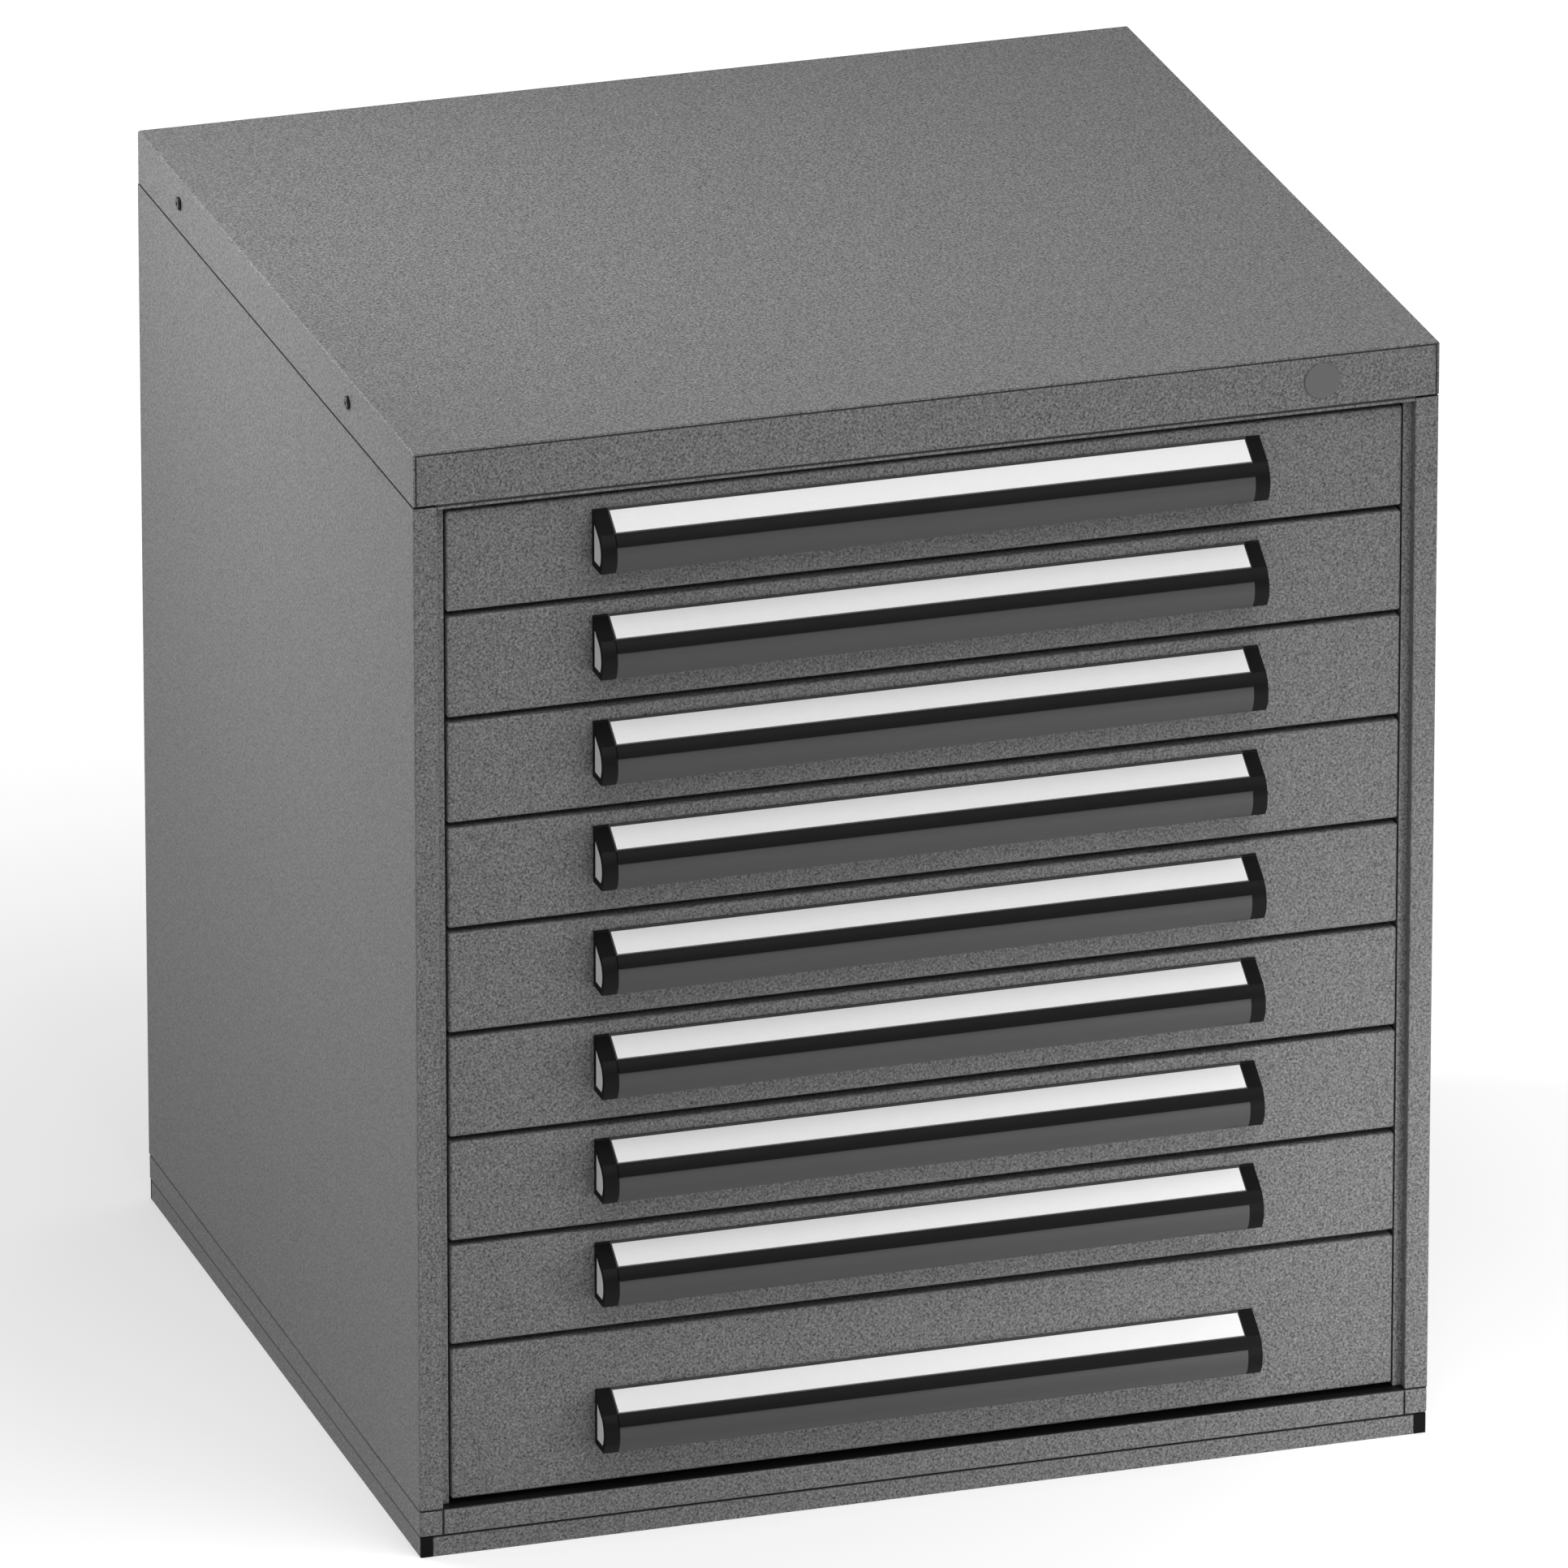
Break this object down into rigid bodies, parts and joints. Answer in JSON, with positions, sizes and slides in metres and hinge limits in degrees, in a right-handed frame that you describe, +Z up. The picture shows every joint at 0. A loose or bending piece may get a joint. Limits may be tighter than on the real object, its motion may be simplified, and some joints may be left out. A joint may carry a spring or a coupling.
{
  "type": "drawer cabinet",
  "caption": "Free-standing steel cabinet of full-extension drawers on roller carriages, with label handles, a cover screwed on through its side rims, and a low plinth.",
  "frame": {"origin": "on the floor, under the middle of the whole outline with its handles", "axes": "+Z up, drawer fronts facing -Y, +X to the right seen from the front"},
  "size_m": [0.7664, 0.725, 0.8445],
  "materials": {
    "housing_paint": "fine speckled powder coat",
    "drawer_paint": "fine speckled powder coat",
    "handle_grey": "smooth satin",
    "trim_black": "moulded satin",
    "label_white": "card, blank",
    "plug_grey": "smooth moulded",
    "foot_black": "moulded",
    "screw_black": "black oxide",
    "rail_zinc": "zinc plated",
    "carriage_zinc": "zinc plated"
  },
  "bodies": {
    "housing": {"top_cover": "housing_paint", "left_side_panel": "housing_paint", "right_side_panel": "housing_paint", "back_panel": "housing_paint", "front_header": "housing_paint", "lock_hole_plug": "plug_grey", "left_front_post": "housing_paint", "right_front_post": "housing_paint", "rear_posts": "housing_paint", "base_frame": "housing_paint", "plinth": "housing_paint", "corner_feet": "foot_black", "top_cover_screws": "screw_black", "left_cabinet_rails": "rail_zinc", "right_cabinet_rails": "rail_zinc"},
    "drawer_1": {"drawer_1_box": "drawer_paint", "drawer_1_handle": "handle_grey", "drawer_1_handle_trim": "trim_black", "drawer_1_label": "label_white"},
    "carriage_1": {"drawer_1_carriage": "carriage_zinc"},
    "drawer_2": {"drawer_2_box": "drawer_paint", "drawer_2_handle": "handle_grey", "drawer_2_handle_trim": "trim_black", "drawer_2_label": "label_white"},
    "carriage_2": {"drawer_2_carriage": "carriage_zinc"},
    "drawer_3": {"drawer_3_box": "drawer_paint", "drawer_3_handle": "handle_grey", "drawer_3_handle_trim": "trim_black", "drawer_3_label": "label_white"},
    "carriage_3": {"drawer_3_carriage": "carriage_zinc"},
    "drawer_4": {"drawer_4_box": "drawer_paint", "drawer_4_handle": "handle_grey", "drawer_4_handle_trim": "trim_black", "drawer_4_label": "label_white"},
    "carriage_4": {"drawer_4_carriage": "carriage_zinc"},
    "drawer_5": {"drawer_5_box": "drawer_paint", "drawer_5_handle": "handle_grey", "drawer_5_handle_trim": "trim_black", "drawer_5_label": "label_white"},
    "carriage_5": {"drawer_5_carriage": "carriage_zinc"},
    "drawer_6": {"drawer_6_box": "drawer_paint", "drawer_6_handle": "handle_grey", "drawer_6_handle_trim": "trim_black", "drawer_6_label": "label_white"},
    "carriage_6": {"drawer_6_carriage": "carriage_zinc"},
    "drawer_7": {"drawer_7_box": "drawer_paint", "drawer_7_handle": "handle_grey", "drawer_7_handle_trim": "trim_black", "drawer_7_label": "label_white"},
    "carriage_7": {"drawer_7_carriage": "carriage_zinc"},
    "drawer_8": {"drawer_8_box": "drawer_paint", "drawer_8_handle": "handle_grey", "drawer_8_handle_trim": "trim_black", "drawer_8_label": "label_white"},
    "carriage_8": {"drawer_8_carriage": "carriage_zinc"},
    "drawer_9": {"drawer_9_box": "drawer_paint", "drawer_9_handle": "handle_grey", "drawer_9_handle_trim": "trim_black", "drawer_9_label": "label_white"},
    "carriage_9": {"drawer_9_carriage": "carriage_zinc"}
  },
  "joints": [
    {"name": "drawer_1_slide", "type": "slide", "parent": "housing", "child": "drawer_1", "axis": [0, -1, 0], "range_m": [0, 0.6]},
    {"name": "carriage_1_slide", "type": "slide", "parent": "housing", "child": "carriage_1", "axis": [0, -1, 0], "range_m": [0, 0.3]},
    {"name": "drawer_2_slide", "type": "slide", "parent": "housing", "child": "drawer_2", "axis": [0, -1, 0], "range_m": [0, 0.6]},
    {"name": "carriage_2_slide", "type": "slide", "parent": "housing", "child": "carriage_2", "axis": [0, -1, 0], "range_m": [0, 0.3]},
    {"name": "drawer_3_slide", "type": "slide", "parent": "housing", "child": "drawer_3", "axis": [0, -1, 0], "range_m": [0, 0.6]},
    {"name": "carriage_3_slide", "type": "slide", "parent": "housing", "child": "carriage_3", "axis": [0, -1, 0], "range_m": [0, 0.3]},
    {"name": "drawer_4_slide", "type": "slide", "parent": "housing", "child": "drawer_4", "axis": [0, -1, 0], "range_m": [0, 0.6]},
    {"name": "carriage_4_slide", "type": "slide", "parent": "housing", "child": "carriage_4", "axis": [0, -1, 0], "range_m": [0, 0.3]},
    {"name": "drawer_5_slide", "type": "slide", "parent": "housing", "child": "drawer_5", "axis": [0, -1, 0], "range_m": [0, 0.6]},
    {"name": "carriage_5_slide", "type": "slide", "parent": "housing", "child": "carriage_5", "axis": [0, -1, 0], "range_m": [0, 0.3]},
    {"name": "drawer_6_slide", "type": "slide", "parent": "housing", "child": "drawer_6", "axis": [0, -1, 0], "range_m": [0, 0.6]},
    {"name": "carriage_6_slide", "type": "slide", "parent": "housing", "child": "carriage_6", "axis": [0, -1, 0], "range_m": [0, 0.3]},
    {"name": "drawer_7_slide", "type": "slide", "parent": "housing", "child": "drawer_7", "axis": [0, -1, 0], "range_m": [0, 0.6]},
    {"name": "carriage_7_slide", "type": "slide", "parent": "housing", "child": "carriage_7", "axis": [0, -1, 0], "range_m": [0, 0.3]},
    {"name": "drawer_8_slide", "type": "slide", "parent": "housing", "child": "drawer_8", "axis": [0, -1, 0], "range_m": [0, 0.6]},
    {"name": "carriage_8_slide", "type": "slide", "parent": "housing", "child": "carriage_8", "axis": [0, -1, 0], "range_m": [0, 0.3]},
    {"name": "drawer_9_slide", "type": "slide", "parent": "housing", "child": "drawer_9", "axis": [0, -1, 0], "range_m": [0, 0.6]},
    {"name": "carriage_9_slide", "type": "slide", "parent": "housing", "child": "carriage_9", "axis": [0, -1, 0], "range_m": [0, 0.3]}
  ],
  "couplings": [
    {"joint": "carriage_1_slide", "follows": "drawer_1_slide", "ratio": 0.5},
    {"joint": "carriage_2_slide", "follows": "drawer_2_slide", "ratio": 0.5},
    {"joint": "carriage_3_slide", "follows": "drawer_3_slide", "ratio": 0.5},
    {"joint": "carriage_4_slide", "follows": "drawer_4_slide", "ratio": 0.5},
    {"joint": "carriage_5_slide", "follows": "drawer_5_slide", "ratio": 0.5},
    {"joint": "carriage_6_slide", "follows": "drawer_6_slide", "ratio": 0.5},
    {"joint": "carriage_7_slide", "follows": "drawer_7_slide", "ratio": 0.5},
    {"joint": "carriage_8_slide", "follows": "drawer_8_slide", "ratio": 0.5},
    {"joint": "carriage_9_slide", "follows": "drawer_9_slide", "ratio": 0.5}
  ]
}
